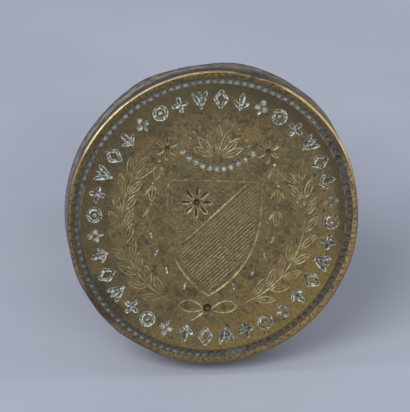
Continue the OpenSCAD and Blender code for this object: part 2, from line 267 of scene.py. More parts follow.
class Finish:
    """A material under construction, with the seal's own axis as its coordinates, in millimetres."""

    def __init__(self, name, metallic, roughness, on_axis=True):
        self.material = bpy.data.materials.new(name)
        self.material.use_nodes = True
        self.tree = self.material.node_tree
        self.shader = self.tree.nodes["Principled BSDF"]
        self.shader.inputs["Metallic"].default_value = metallic
        self.shader.inputs["Roughness"].default_value = roughness
        place = self.tree.nodes.new("ShaderNodeMapping")
        place.vector_type = 'TEXTURE'
        place.inputs["Scale"].default_value = (MM, MM, MM)
        if on_axis:
            place.inputs["Location"].default_value = LAID.to_translation()
            place.inputs["Rotation"].default_value = LAID.to_euler('XYZ')
        where = self.tree.nodes.new("ShaderNodeTexCoord")
        self.link(where.outputs["Object"], place.inputs["Vector"])
        self.at = place.outputs["Vector"]
        apart = self.node("ShaderNodeSeparateXYZ", Vector=self.at)
        self.x, self.y, self.z = apart.outputs
        self.radius = self.oval_radius()

    def oval_radius(self):
        """Distance from the axis, with one value all round each ring of the out-of-round head."""
        turn = math.radians(LONG_AXIS)
        axes = ((-math.cos(turn), math.sin(turn), LONG), (math.sin(turn), math.cos(turn), SHORT))
        shares = [self.along(across / stretch, up / stretch) for across, up, stretch in axes]
        flat = self.node("ShaderNodeCombineXYZ", X=shares[0], Y=shares[1])
        far = self.node("ShaderNodeVectorMath", operation='LENGTH')
        self.link(flat.outputs[0], far.inputs[0])
        return far.outputs["Value"]

    def along(self, across, up):
        """How far a place lies in one direction on the face: x times across, plus y times up."""
        made = self.node("ShaderNodeVectorMath", operation='DOT_PRODUCT')
        self.link(self.at, made.inputs[0])
        made.inputs[1].default_value = (across, up, 0)
        return made.outputs["Value"]

    def link(self, source, target):
        self.tree.links.new(source, target)

    def put(self, target, value):
        if isinstance(value, bpy.types.NodeSocket):
            self.link(value, target)
        else:
            target.default_value = value

    def node(self, kind, **values):
        made = self.tree.nodes.new(kind)
        for key, value in values.items():
            if key in made.inputs:
                self.put(made.inputs[key], value)
            else:
                setattr(made, key, value)
        return made

    def stretched(self, x, y, z):
        made = self.node("ShaderNodeVectorMath", operation='MULTIPLY')
        self.link(self.at, made.inputs[0])
        made.inputs[1].default_value = (x, y, z)
        return made.outputs[0]

    def noise(self, scale, detail=4.0, rough=0.55, at=None, distortion=0.0):
        made = self.node("ShaderNodeTexNoise", Vector=at or self.at, Scale=scale, Detail=detail,
                         Roughness=rough, Distortion=distortion)
        return made.outputs["Fac"]

    def ramp(self, value, low, high, out_low=0.0, out_high=1.0):
        made = self.node("ShaderNodeMapRange", Value=value, interpolation_type='SMOOTHSTEP')
        numbers = {"From Min": low, "From Max": high, "To Min": out_low, "To Max": out_high}
        for socket, number in numbers.items():
            made.inputs[socket].default_value = number
        return made.outputs[0]

    def maths(self, operation, a, b=0.0):
        made = self.node("ShaderNodeMath", operation=operation)
        self.put(made.inputs[0], a)
        self.put(made.inputs[1], b)
        return made.outputs[0]

    def times(self, *values):
        result = values[0]
        for value in values[1:]:
            result = self.maths('MULTIPLY', result, value)
        return result

    def mix(self, amount, first, second):
        made = self.tree.nodes.new("ShaderNodeMix")
        made.data_type = 'RGBA'
        self.put(made.inputs["Factor"], amount)
        colours = [s for s in made.inputs if s.type == 'RGBA']
        self.put(colours[0], first)
        self.put(colours[1], second)
        return [s for s in made.outputs if s.type == 'RGBA'][0]

    def spot(self, x, y, radius, soft):
        """A round patch on the face, 1 in its middle and 0 outside."""
        away = self.node("ShaderNodeVectorMath", operation='DISTANCE')
        self.link(self.node("ShaderNodeCombineXYZ", X=self.x, Y=self.y).outputs[0], away.inputs[0])
        away.inputs[1].default_value = (x, y, 0)
        return self.ramp(away.outputs["Value"], radius - soft, radius + soft, 1.0, 0.0)

    def bump(self, height, distance, strength=1.0, under=None):
        made = self.node("ShaderNodeBump", Height=height, Distance=distance * MM, Strength=strength)
        if under:
            self.link(under, made.inputs["Normal"])
        return made.outputs["Normal"]

    def colour(self, value):
        self.put(self.shader.inputs["Base Color"], value)

    def metallic(self, value):
        self.put(self.shader.inputs["Metallic"], value)

    def roughness(self, value):
        self.put(self.shader.inputs["Roughness"], value)

    def normal(self, value):
        self.link(value, self.shader.inputs["Normal"])


def face_brass(f, blotch, grain):
    """Colours inside the border: blotched brown, more golden at the lower right, dark by the beads."""
    warm = f.along(*LOWER_RIGHT)
    speck = f.noise(6.5, 3.0, 0.6)
    patch = f.noise(0.55, 3.0, 0.5)
    colour = f.mix(f.ramp(blotch, 0.36, 0.64), rgb(72, 64, 42), rgb(95, 82, 51))
    colour = f.mix(f.ramp(warm, 4.0, 18.0, 0.0, 0.8), colour, rgb(110, 92, 46))
    colour = f.mix(f.ramp(grain, 0.52, 0.66, 0.0, 0.8), colour, rgb(44, 36, 22))
    colour = f.mix(f.ramp(grain, 0.47, 0.34, 0.0, 0.7), colour, rgb(134, 117, 78))
    colour = f.mix(f.ramp(speck, 0.54, 0.70, 0.0, 0.6), colour, rgb(48, 41, 26))
    colour = f.mix(f.ramp(speck, 0.46, 0.32, 0.0, 0.5), colour, rgb(140, 124, 86))
    colour = f.mix(f.ramp(patch, 0.52, 0.64, 0.0, 0.5), colour, rgb(106, 84, 50))
    colour = f.mix(f.ramp(patch, 0.47, 0.36, 0.0, 0.45), colour, rgb(82, 78, 60))
    ring = f.times(f.ramp(f.radius, 13.2, 15.2), f.ramp(warm, 10.0, -12.0))
    colour = f.mix(f.times(ring, 0.5), colour, rgb(54, 47, 28))
    about_shield = f.times(f.ramp(f.radius, 6.0, 9.0), f.ramp(f.radius, 15.0, 13.5))
    grime = f.times(about_shield, f.ramp(f.noise(0.85, 4.0, 0.6), 0.5, 0.66))
    colour = f.mix(f.times(grime, 0.6), colour, rgb(50, 41, 26))
    border = f.times(f.ramp(f.radius, 16.2, 17.6), f.ramp(f.x, 6.0, -8.0, 0.25, 0.75),
                     f.ramp(f.y, -8.0, 0.0))
    return f.mix(border, colour, rgb(54, 44, 26))


def edge_brass(f, colour, blotch, grain):
    """Colours of the plain edge outside the beads, over those of the face, and the stain inside them."""
    warm = f.along(*LOWER_RIGHT)
    land = f.ramp(f.radius, 18.9, 19.15)
    olive = f.mix(f.ramp(grain, 0.42, 0.60), rgb(84, 71, 30), rgb(44, 36, 18))
    colour = f.mix(f.times(land, f.ramp(warm, 6.0, -2.0, 0.0, 0.85)), colour, olive)
    gold = f.mix(f.ramp(blotch, 0.4, 0.6), rgb(140, 117, 76), rgb(124, 109, 74))
    gold = f.mix(f.ramp(grain, 0.46, 0.58), gold, rgb(76, 64, 38))
    colour = f.mix(f.times(land, f.ramp(warm, 4.0, 9.0, 0.0, 0.9)), colour, gold)
    colour = f.mix(f.times(land, f.ramp(f.y, -15.0, -18.5, 0.0, 0.4)), colour, rgb(64, 57, 46))
    pits = f.ramp(f.noise(1.0, 2.0, 0.5), 0.63, 0.71)
    colour = f.mix(f.times(pits, 0.75), colour, rgb(48, 36, 20))
    rust = f.times(land, f.spot(*rim_place(224.0, 19.5), 6.0, 2.5),
                   f.ramp(f.noise(0.9, 4.0, 0.6), 0.40, 0.58))
    colour = f.mix(f.times(rust, 0.55), colour, rgb(98, 71, 52))
    worn = f.times(f.ramp(f.radius, 19.36, 19.54), f.ramp(f.y, 8.0, 0.0), f.ramp(warm, 7.0, 2.0))
    colour = f.mix(worn, colour, f.mix(f.ramp(grain, 0.44, 0.60), rgb(114, 98, 76), rgb(70, 57, 42)))
    stain = f.times(f.spot(*rim_place(216.0, 17.9), 3.2, 1.1), f.ramp(f.radius, 16.6, 17.4),
                    f.ramp(grain, 0.64, 0.46))
    return f.mix(f.times(stain, 0.9), colour, rgb(44, 38, 31))


def flank_brass(f, filed):
    """Colours of the head's side, from brown at the face over a painted highlight of pale streaks to
    painted shade towards the back edge, and of its back.
    """
    streak = f.noise(1.2, 5.0, 0.65, f.stretched(0.5, 0.5, 0.6))
    mottle = f.noise(0.9, 5.0, 0.62)
    colour = f.mix(f.ramp(f.z, 1.4, 3.4), rgb(72, 52, 35), rgb(96, 86, 78))
    # Painted highlight: pale streaks along the middle of the side.
    middle = f.times(f.ramp(f.z, 1.8, 3.2), f.ramp(f.z, 6.2, 4.6))
    colour = f.mix(f.times(f.ramp(streak, 0.42, 0.56), middle), colour, rgb(156, 149, 142))
    # Painted shade: the side darker towards its back edge.
    colour = f.mix(f.ramp(f.z, 4.8, 6.8, 0.0, 0.8), colour, rgb(68, 62, 62))
    colour = f.mix(f.ramp(mottle, 0.48, 0.66, 0.0, 0.6), colour, rgb(60, 50, 42))
    colour = f.mix(f.ramp(mottle, 0.46, 0.34, 0.0, 0.4), colour, rgb(146, 134, 120))
    grey = f.mix(f.ramp(streak, 0.4, 0.6), rgb(128, 119, 116), rgb(96, 88, 86))
    colour = f.mix(f.ramp(f.y, 8.0, 2.0, 0.0, 0.6), colour, grey)
    brown = f.mix(f.ramp(streak, 0.42, 0.58), rgb(144, 128, 102), rgb(60, 48, 36))
    colour = f.mix(f.ramp(f.x, 2.0, -8.0, 0.0, 0.8), colour, brown)
    shaded = f.times(f.ramp(f.y, 13.0, 18.0), f.ramp(f.z, 5.0, 2.0, 0.0, 0.7))
    colour = f.mix(shaded, colour, rgb(54, 47, 40))
    colour = f.mix(f.ramp(filed, 0.50, 0.64, 0.0, 0.6), colour, rgb(54, 47, 41))
    raised = f.times(f.ramp(filed, 0.48, 0.36, 0.0, 0.55), f.ramp(f.z, 0.8, 2.6))
    colour = f.mix(raised, colour, rgb(160, 148, 134))
    at_right = f.ramp(f.along(-1.0, -0.5), 8.0, 13.0, 0.0, 0.85)
    handled = f.maths('MAXIMUM', f.ramp(f.y, 0.0, -7.0, 0.0, 0.85), at_right)
    aged = f.mix(f.ramp(streak, 0.38, 0.64), rgb(126, 103, 63), rgb(86, 70, 44))
    colour = f.mix(handled, colour, aged)
    bruise = f.times(f.spot(*rim_place(71.5, 20.0), 1.5, 1.0), f.ramp(f.z, 4.5, 2.5, 0.0, 0.75))
    colour = f.mix(bruise, colour, rgb(54, 51, 46))
    by_radius = f.node("ShaderNodeCombineXYZ", X=f.radius).outputs[0]
    rings = f.ramp(f.noise(1.4, 4.0, 0.6, by_radius), 0.4, 0.6)
    back = f.mix(rings, rgb(144, 118, 68), rgb(126, 102, 58))
    back = f.mix(f.ramp(mottle, 0.44, 0.66, 0.0, 0.6), back, rgb(76, 61, 38))
    return f.mix(f.ramp(f.z, 7.7, 8.4), colour, back)


def worn_brass_with_painted_light():
    """The head outside its engraving: the face, its plain edge, the rim with its painted highlight, and the
    side with painted highlight and shade.
    """
    metallic = 0.62
    f = Finish("worn_engraved_brass_with_painted_light", metallic, 0.42)
    blotch = f.noise(0.32, 5.0, 0.6)
    grain = f.noise(2.2, 6.0, 0.7)
    filed = f.noise(1.05, 6.0, 0.68)
    colour = edge_brass(f, face_brass(f, blotch, grain), blotch, grain)

    # The rim: its own dull brown with a painted highlight, pale where the lamps would glint on the bevel,
    # bright at the top and dull below; the band is broader at the right, where the painted highlight is
    # broad, and bent in about the knock.
    in_front = f.ramp(f.z, 0.36, 0.24)
    wider_glint_at_right = f.ramp(f.x, -6.0, -12.0, 0.0, 0.1)
    rim = f.times(f.ramp(f.maths('ADD', f.radius, wider_glint_at_right), 19.72, 19.84), in_front)
    bent = f.times(f.spot(*rim_place(73.0, 19.6), 2.6, 0.8), f.ramp(f.z, 0.02, 0.08), in_front)
    rim = f.maths('MAXIMUM', rim, bent)
    # bright is the colour of the painted highlight on the bevel, and glint is where it is painted.
    bright = f.mix(f.ramp(blotch, 0.4, 0.6), rgb(200, 184, 146), rgb(160, 138, 94))
    glint = f.times(f.ramp(f.y, 1.0, 12.0), f.ramp(f.along(0.15, 1.0), 15.5, 18.5, 1.0, 0.45),
                    f.ramp(f.x, -4.0, -8.0, 1.0, 0.75))
    dull = f.mix(f.ramp(f.x, 2.0, 8.0), rgb(124, 99, 63), rgb(110, 92, 72))
    colour = f.mix(rim, colour, f.mix(glint, dull, bright))

    behind = f.ramp(f.z, 0.22, 0.32)
    f.colour(f.mix(behind, colour, flank_brass(f, filed)))
    flank = f.times(behind, f.ramp(f.z, 8.4, 7.7))
    f.metallic(f.maths('SUBTRACT', metallic, f.times(flank, 0.3)))
    rough = f.maths('ADD', f.ramp(grain, 0.3, 0.75, 0.36, 0.56), f.times(flank, 0.2))
    f.roughness(f.maths('SUBTRACT', rough, f.times(rim, glint, 0.12)))
    scratch = f.noise(1.6, 5.0, 0.7, f.stretched(0.35, 3.2, 1.0))
    uneven = f.bump(f.times(filed, flank), 0.1, 0.5, f.bump(grain, 0.06, 0.7))
    f.normal(f.bump(scratch, 0.03, 0.5, uneven))
    return f.material


def cut_brass(name, bright, dull):
    """Brass that the graver has laid bare, faded in places and dark in the depth of the cuts."""
    f = Finish(name, 0.5, 0.42)
    grime = f.noise(1.5, 5.0, 0.65)
    faded = f.ramp(f.noise(0.22, 3.0, 0.5), 0.40, 0.62)
    colour = f.mix(f.ramp(grime, 0.38, 0.64), bright, dull)
    colour = f.mix(f.times(faded, 0.7), colour, rgb(104, 92, 62))
    colour = f.mix(f.ramp(f.z, 0.10, 0.22), colour, rgb(62, 54, 36))
    f.colour(colour)
    f.roughness(f.ramp(grime, 0.35, 0.7, 0.36, 0.55))
    return f.material


def ring_line_brass():
    """The thin line beside the beads: a painted highlight at the left and the upper right, in patches, and
    dull elsewhere.
    """
    f = Finish("ring_line_brass", 0.4, 0.5)
    below_top = f.ramp(f.along(0.3, 1.0), 12.0, 8.0)
    # Painted highlight: the line pale in the upper half, short of the very top, in patches.
    painted_highlight_patches = f.times(below_top, f.ramp(f.y, -6.0, 0.0), f.ramp(f.noise(0.9, 4.0, 0.6), 0.62, 0.42))
    f.colour(f.mix(painted_highlight_patches, rgb(72, 62, 40), rgb(120, 114, 94)))
    return f.material


def pale_residue(name, shade):
    """Crumbs of pale residue, with a share of them gone in the deep parts."""
    f = Finish(name, 0.15, 0.5)
    crumbs = f.noise(3.2, 5.0, 0.7)
    right = f.along(-0.93, -0.372)
    lost = f.times(f.ramp(right, 0.0, 12.0, 0.25, 0.9), f.ramp(f.noise(0.8, 3.0), 0.36, 0.56))
    colour = f.mix(f.ramp(crumbs, 0.42, 0.60), rgb(194, 197, 186), rgb(92, 91, 80))
    colour = f.mix(lost, colour, rgb(108, 104, 88))
    crumbled = f.maths('ADD', f.z, f.times(f.maths('SUBTRACT', crumbs, 0.5), 0.9))
    f.colour(f.mix(f.ramp(crumbled, 0.03, 0.17, 0.0, shade), colour, rgb(42, 45, 43)))
    f.normal(f.bump(crumbs, 0.04, 0.7))
    return f.material


def channel_grime_and_painted_highlight():
    """Grime between the beads: golden at the lower right, blackish at the left, with a painted highlight on
    its inner edge in the upper half.
    """
    f = Finish("grime_and_painted_highlight_in_bead_channel", 0.35, 0.5)
    crumbs = f.noise(2.4, 5.0, 0.7)
    colour = f.mix(f.ramp(crumbs, 0.4, 0.66), rgb(70, 65, 55), rgb(44, 42, 37))
    golden = f.times(f.ramp(f.along(*LOWER_RIGHT), 12.5, 18.0), f.ramp(f.noise(0.6, 3.0), 0.42, 0.6))
    colour = f.mix(golden, colour, rgb(88, 70, 40))
    left = f.ramp(f.along(1.0, -0.4), 8.0, 20.0, 0.0, 0.7)
    colour = f.mix(left, colour, f.mix(f.ramp(crumbs, 0.4, 0.6), rgb(56, 58, 54), rgb(34, 37, 36)))
    # Painted highlight: the channel's inner edge pale in the upper half, as if lit from above.
    pale = f.times(f.ramp(f.radius, 18.5, 18.26, 0.0, 0.5), f.ramp(f.y, -6.0, 6.0),
                   f.ramp(crumbs, 0.6, 0.44))
    colour = f.mix(pale, colour, rgb(106, 102, 90))
    green = f.times(f.spot(*VERDIGRIS), f.ramp(crumbs, 0.3, 0.55))
    f.colour(f.mix(f.times(green, 0.7), colour, rgb(64, 84, 74)))
    return f.material


def bead_patina_and_painted_light():
    """The beads: pale grey at the top, dull at the sides and brown at the lower right, with painted light
    and shade on their walls as if lit from above.
    """
    f = Finish("grey_patina_and_painted_light_in_beads", 0.05, 0.66)
    warm = f.along(*LOWER_RIGHT)
    crumbs = f.noise(1.3, 5.0, 0.65)
    colour = f.mix(f.ramp(crumbs, 0.38, 0.62), rgb(112, 113, 106), rgb(82, 82, 76))
    colour = f.mix(f.ramp(f.noise(3.6, 4.0, 0.6), 0.5, 0.64, 0.0, 0.7), colour, rgb(52, 55, 48))
    dull = f.mix(f.ramp(crumbs, 0.36, 0.6), rgb(80, 78, 67), rgb(44, 45, 42))
    colour = f.mix(f.ramp(f.along(0.12, 1.0), 14.0, 8.5, 0.0, 0.9), colour, dull)
    dark = f.mix(f.ramp(crumbs, 0.36, 0.6), rgb(66, 54, 33), rgb(40, 34, 24))
    colour = f.mix(f.ramp(warm, 3.0, 12.0, 0.0, 0.9), colour, dark)

    # Painted light and shade: a painted highlight on the inner side and painted shade on the outer side in
    # the upper half, and the other way round below
    upper = f.ramp(f.y, -2.0, 12.0, 0.2, 1.0)
    lit = f.times(f.ramp(f.radius, 18.74, 18.4, 0.0, 0.6), upper, f.ramp(crumbs, 0.64, 0.44, 0.2, 1.0))
    colour = f.mix(lit, colour, rgb(114, 113, 105))
    colour = f.mix(f.times(f.ramp(f.radius, 18.66, 18.95, 0.0, 0.7), upper), colour, rgb(40, 41, 38))
    lower = f.ramp(f.y, -4.0, -12.0)
    under = f.times(f.ramp(f.radius, 18.56, 18.9, 0.0, 0.7), lower,
                    f.ramp(crumbs, 0.62, 0.44, 0.4, 1.0), f.ramp(warm, 15.2, 12.0))
    colour = f.mix(under, colour, rgb(112, 112, 100))
    colour = f.mix(f.times(f.ramp(f.radius, 18.64, 18.36, 0.0, 0.7), lower), colour, rgb(38, 41, 36))

    inky = f.mix(f.ramp(crumbs, 0.40, 0.56), rgb(68, 67, 66), rgb(26, 27, 30))
    colour = f.mix(f.spot(*rim_place(27.0, 18.7), 3.2, 1.6), colour, inky)
    green = f.times(f.spot(*VERDIGRIS), f.ramp(crumbs, 0.3, 0.5))
    f.colour(f.mix(f.times(green, 0.7), colour, rgb(78, 98, 88)))
    return f.material


def turned_brass():
    """Brass with fine rings from the lathe."""
    f = Finish("turned_brass", 0.9, 0.3)
    blotch = f.noise(0.5, 5.0, 0.6)
    rings = f.noise(5.0, 3.0, 0.6, f.stretched(0.02, 0.02, 2.2))
    colour = f.mix(f.ramp(blotch, 0.38, 0.64), rgb(178, 142, 78), rgb(128, 100, 54))
    colour = f.mix(f.ramp(f.noise(2.8, 5.0, 0.7), 0.56, 0.78, 0.0, 0.7), colour, rgb(72, 56, 34))
    f.colour(colour)
    f.roughness(f.ramp(blotch, 0.3, 0.7, 0.24, 0.44))
    f.normal(f.bump(rings, 0.02, 0.5))
    return f.material


def dark_wood():
    """Polished hardwood, its grain along the handle, worn paler at the end."""
    f = Finish("polished_dark_wood", 0.0, 0.34)
    grain = f.noise(2.2, 6.0, 0.62, f.stretched(1.0, 0.55, 0.07), 0.4)
    fibre = f.noise(7.0, 4.0, 0.6, f.stretched(1.0, 1.0, 0.05))
    colour = f.mix(f.ramp(grain, 0.36, 0.66), rgb(64, 36, 22), rgb(112, 66, 38))
    colour = f.mix(f.ramp(fibre, 0.55, 0.72, 0.0, 0.7), colour, rgb(34, 19, 13))
    worn = f.times(f.ramp(f.z, 37.0, 43.0), f.ramp(f.noise(0.25, 3.0), 0.4, 0.65))
    colour = f.mix(f.times(worn, 0.35), colour, rgb(138, 88, 52))
    f.colour(colour)
    f.roughness(f.ramp(fibre, 0.35, 0.75, 0.28, 0.5))
    f.shader.inputs["Coat Weight"].default_value = 0.25
    f.shader.inputs["Coat Roughness"].default_value = 0.2
    f.normal(f.bump(fibre, 0.05, 0.5))
    return f.material


def pressed_leather():
    """Leather in layers, with a pressed grain."""
    f = Finish("pressed_leather", 0.0, 0.62)
    cells = f.node("ShaderNodeTexVoronoi", Vector=f.at, Scale=2.6, feature='DISTANCE_TO_EDGE')
    layers = f.noise(4.0, 4.0, 0.6, f.stretched(0.4, 0.4, 3.0))
    colour = f.mix(f.ramp(f.noise(0.8, 4.0), 0.35, 0.65), rgb(92, 58, 34), rgb(58, 36, 22))
    colour = f.mix(f.ramp(layers, 0.5, 0.7, 0.0, 0.6), colour, rgb(122, 84, 54))
    f.colour(colour)
    f.normal(f.bump(layers, 0.05, 0.7, f.bump(cells.outputs["Distance"], 0.08, 0.5)))
    return f.material


def dull_iron():
    """Iron with a little rust, rubbed bright on the crest of the thread."""
    f = Finish("dull_iron", 0.8, 0.48)
    rust = f.noise(1.1, 6.0, 0.65)
    crest = f.ramp(f.radius, 2.6, 2.9)
    colour = f.mix(crest, rgb(74, 70, 66), rgb(158, 154, 146))
    colour = f.mix(f.ramp(rust, 0.5, 0.68), colour, rgb(96, 62, 42))
    f.colour(colour)
    f.roughness(f.maths('SUBTRACT', f.ramp(rust, 0.35, 0.7, 0.40, 0.66), f.times(crest, 0.1)))
    f.normal(f.bump(rust, 0.04, 0.6))
    return f.material


# The engraver's tools

def stroke(points, width, swell=0.25):
    """A cut of the graver along (right, up) points, widest in its middle and running out at both ends."""
    count = len(points)
    line = []
    for i, (u, v) in enumerate(points):
        t = i / (count - 1)
        if swell:
            part = min(1.0, min(t, 1 - t) / swell)
        else:
            part = max(1 - abs(2 * t - 1) ** 2.5, 0.0)
        line.append((u, v, max(THINNEST_HALF, 0.5 * width * math.sin(part * math.pi / 2))))
    return line, False


def loop(points, width):
    """A cut of even width that closes on itself."""
    return [(u, v, 0.5 * width) for u, v in points], True


def curve_points(start, middle, end, steps=8):
    """Points along a bow from start to end that is drawn towards middle."""
    out = []
    for i in range(steps + 1):
        t = i / steps
        a, b, c = (1 - t) ** 2, 2 * t * (1 - t), t * t
        out.append((a * start[0] + b * middle[0] + c * end[0], a * start[1] + b * middle[1] + c * end[1]))
    return out


def ring_points(radius, steps):
    """Points all round a circle about the middle."""
    return [polar(radius, 360 * i / steps) for i in range(steps)]


def leaf(u, v, direction, length, width):
    """One leaf: a short, broad cut about its middle point."""
    a = math.radians(direction)
    points = [(u + math.cos(a) * length * t / 8, v + math.sin(a) * length * t / 8) for t in range(-4, 5)]
    return stroke(points, width, 0)


def turned_about(strokes, u, v, direction, size):
    """The same strokes in another size, moved to (u, v), with their up turned to a direction."""
    a = math.radians(direction - 90)
    right = (size * math.cos(a), size * math.sin(a))
    up = (-size * math.sin(a), size * math.cos(a))
    moved = []
    for line, closed in strokes:
        points = [(u + x * right[0] + y * up[0], v + x * right[1] + y * up[1], w * size)
                  for x, y, w in line]
        moved.append((points, closed))
    return moved


def mirrored(strokes, side):
    """The same strokes, or their mirror image where side is -1."""
    return [([(side * u, v, w) for u, v, w in line], closed) for line, closed in strokes]


def cut_strokes(head, strokes, finish, steepness=0.8):
    """Cut strokes into the head in as many passes as it takes for no two strokes of a pass to meet."""
    passes = []
    for mark in strokes:
        for done in passes:
            if not any(math.hypot(a[0] - b[0], a[1] - b[1]) < 1.1 * (a[2] + b[2]) + 0.05
                       for other in done for a in mark[0] for b in other[0]):
                done.append(mark)
                break
        else:
            passes.append([mark])
    for done in passes:
        with_boolean(head, graver_cutter(done, finish, steepness))


def graver_cutter(strokes, finish, steepness):
    """All strokes of one pass as solid wedges with their broadest section on the face."""
    cutter = bars([([(-u, v, 0, w) for u, v, w in line], closed) for line, closed in strokes])
    cutter.scale = (1, 1, steepness)
    settle(cutter)
    paint(cutter, finish)
    return cutter


def punch_cutter(dots, finish, sunk=0.0, depth=1.0):
    """Round punches at (right, up, radius), joined into one. Their depth is a share of their radius."""
    bpy.ops.object.select_all(action='DESELECT')
    made = []
    for u, v, radius in dots:
        if made:
            dot = made[0].copy()
            dot.data = made[0].data.copy()
            bpy.context.scene.collection.objects.link(dot)
        else:
            bpy.ops.mesh.primitive_ico_sphere_add(subdivisions=2, radius=1.0)
            dot = bpy.context.object
        dot.location = (-u * MM, v * MM, sunk * MM)
        dot.scale = (radius * MM, radius * MM, depth * radius * MM)
        made.append(dot)
    for dot in made:
        dot.select_set(True)
    bpy.context.view_layer.objects.active = made[0]
    bpy.ops.object.join()
    cutter = bpy.context.object
    settle(cutter)
    paint(cutter, finish)
    return cutter


def ring_cutter(inner, outer, depth, finish):
    """A shallow channel turned into the face."""
    section = [(inner, -1.0), (outer, -1.0), (outer, depth), (inner, depth)]
    cutter = turned("channel", section, ring=True, sides=256)
    paint(cutter, finish)
    return cutter


# The ornaments of the ring, each about its own middle: strokes of the graver and punched dots

def lozenge():
    corners = [(0, 1.0), (0.72, 0), (0, -1.0), (-0.72, 0), (0, 1.0)]
    sides = [(a[0] + (b[0] - a[0]) * t, a[1] + (b[1] - a[1]) * t)
             for a, b in zip(corners, corners[1:]) for t in (0.08, 0.5, 0.92)]
    return [loop(sides, 0.42)], []


def three_leaves():
    outer = [leaf(-0.46, 0.12, 115, 1.9, 0.56), leaf(0.46, 0.12, 65, 1.9, 0.56)]
    return outer + [leaf(0, 0.25, 90, 1.5, 0.46)], [(0, -0.9, 0.22)]


def four_petals():
    return [leaf(*polar(0.56, a), a, 0.9, 0.56) for a in (0, 90, 180, 270)], [(0, 0, 0.24)]


def ring_and_dot():
    return [loop(ring_points(0.74, 20), 0.42)], [(0, 0, 0.26)]


def three_berries():
    stalk = stroke([(0, -0.3), (0, -0.65), (0, -1.0)], 0.4, 0.2)
    return [stalk], [(0, 0.6, 0.38), (0.46, -0.1, 0.38), (-0.46, -0.1, 0.38)]


def sprig():
    low = [leaf(-0.5, -0.42, 138, 1.1, 0.46), leaf(0.5, -0.42, 42, 1.1, 0.46)]
    return [leaf(0, 0.25, 90, 1.5, 0.7)] + low, [(0, -0.92, 0.22)]


ORNAMENTS = (lozenge, three_leaves, four_petals, ring_and_dot, three_berries, sprig)


def ring_of_marks():
    """The ornaments in turn, all round the face, with their tops outward."""
    strokes, dots = [], []
    for i in range(MARKS):
        angle = 90 + i * 360 / MARKS
        u, v = polar(MARK_RING_R, angle)
        cuts, punched = ORNAMENTS[i % len(ORNAMENTS)]()
        strokes += turned_about(cuts, u, v, angle, MARK_SIZE)
        dots += turned_about([(punched, False)], u, v, angle, MARK_SIZE)[0][0]
    return strokes, dots


# The rest of the design

def shield_points(grow=0.0):
    """The outline of the shield, or one that runs so far outside it."""
    half, top, sweep = SHIELD_HALF, SHIELD_TOP + grow, SHIELD_SWEEP + grow
    right = [(half + grow, top), (half + grow, SHIELD_WAIST)]
    bends = [polar(sweep, a) for a in range(5, 60, 5)]
    curve = [(u - half, SHIELD_WAIST - v) for u, v in bends]
    tip = (0.0, SHIELD_WAIST - math.sqrt(sweep ** 2 - half ** 2))
    left = [(-u, v) for u, v in reversed(right + curve)]
    return right + curve + [tip] + left


def inside_shield(u, v, margin):
    """Whether a point is inside the shield and at least so far from its edge."""
    if v > SHIELD_WAIST:
        return abs(u) < SHIELD_HALF - margin and v < SHIELD_TOP - margin
    return math.hypot(abs(u) + SHIELD_HALF, v - SHIELD_WAIST) < SHIELD_SWEEP - margin


def hatching():
    """Slanting lines over the lower right half of the shield, cut off where they meet its edge."""
    lines = []
    for i in range(HATCH_LINES):
        away = HATCH_FIRST + i * HATCH_PITCH
        run = []
        for step in range(-90, 91):
            t = step / 8
            u, v = (t + away) * DIAGONAL, (t - away) * DIAGONAL + SHIELD_WAIST
            if inside_shield(u, v, HATCH_MARGIN):
                run.append((u, v))
        if len(run) > 6:
            ends = [run[0], run[len(run) // 3], run[2 * len(run) // 3], run[-1]]
            lines.append(stroke(ends, HATCH_W, 0.05))
    return lines


def drawn_leaf(u, v, direction, length, width, line=0.2):
    """A leaf drawn with three fine cuts: its two edges and its midrib."""
    a = math.radians(direction)

    def place(x, y):
        return u + x * math.cos(a) - y * math.sin(a), v + x * math.sin(a) + y * math.cos(a)

    half = length / 2
    bows = [curve_points(place(-half, 0), place(0, s * width), place(half, 0), 8) for s in (-1, 1)]
    midrib = [place(-0.4 * length, 0), place(0, 0), place(0.3 * length, 0)]
    return [stroke(bow, line, 0.2) for bow in bows] + [stroke(midrib, 0.6 * line, 0.3)]


def drawn_rosette(u, v, size, petals):
    """A flower of short broad cuts about a punched eye."""
    cuts = []
    for i in range(petals):
        a = 90 + i * 360 / petals
        du, dv = polar(0.62 * size, a)
        cuts.append(leaf(u + du, v + dv, a, 0.72 * size, 0.3 * size))
    return cuts, [(u, v, 0.2 * size)]


def branch(side):
    """One laurel branch: its stem, then its leaves on both sides of the stem and at the tip."""
    cuts = [stroke([polar(BRANCH_R, a) for a in range(-66, 27, 4)], 0.26, 0.12)]
    step = LEAF_SPAN / (LEAF_PAIRS - 1)
    for i in range(LEAF_PAIRS):
        for s in (-1, 1):
            a = math.radians(LEAF_FIRST + i * step)
            r, along = BRANCH_R + s * 0.98, 0.9
            u, v = r * math.cos(a) - along * math.sin(a), r * math.sin(a) + along * math.cos(a)
            cuts += drawn_leaf(u, v, math.degrees(a) + 90 - s * 30, 2.7, 0.88)
    cuts += drawn_leaf(*polar(BRANCH_R, 34), 126, 2.9, 0.9)
    return mirrored(cuts, side)


def ribbon():
    """Two loops and two ends about the knot."""
    cuts = []
    for s in (-1, 1):
        out = curve_points((s * 0.55, -12.4), (s * 2.6, -10.3), (s * 4.0, -11.9), 10)
        home = curve_points((s * 4.0, -11.9), (s * 3.2, -13.3), (s * 0.7, -12.6), 10)
        cuts.append(stroke(out + home[1:], 0.26, 0.1))
        end = curve_points((s * 0.45, -12.95), (s * 1.2, -13.2), (s * 2.1, -14.1), 8)
        cuts.append(stroke(end, 0.42, 0.3))
    return cuts


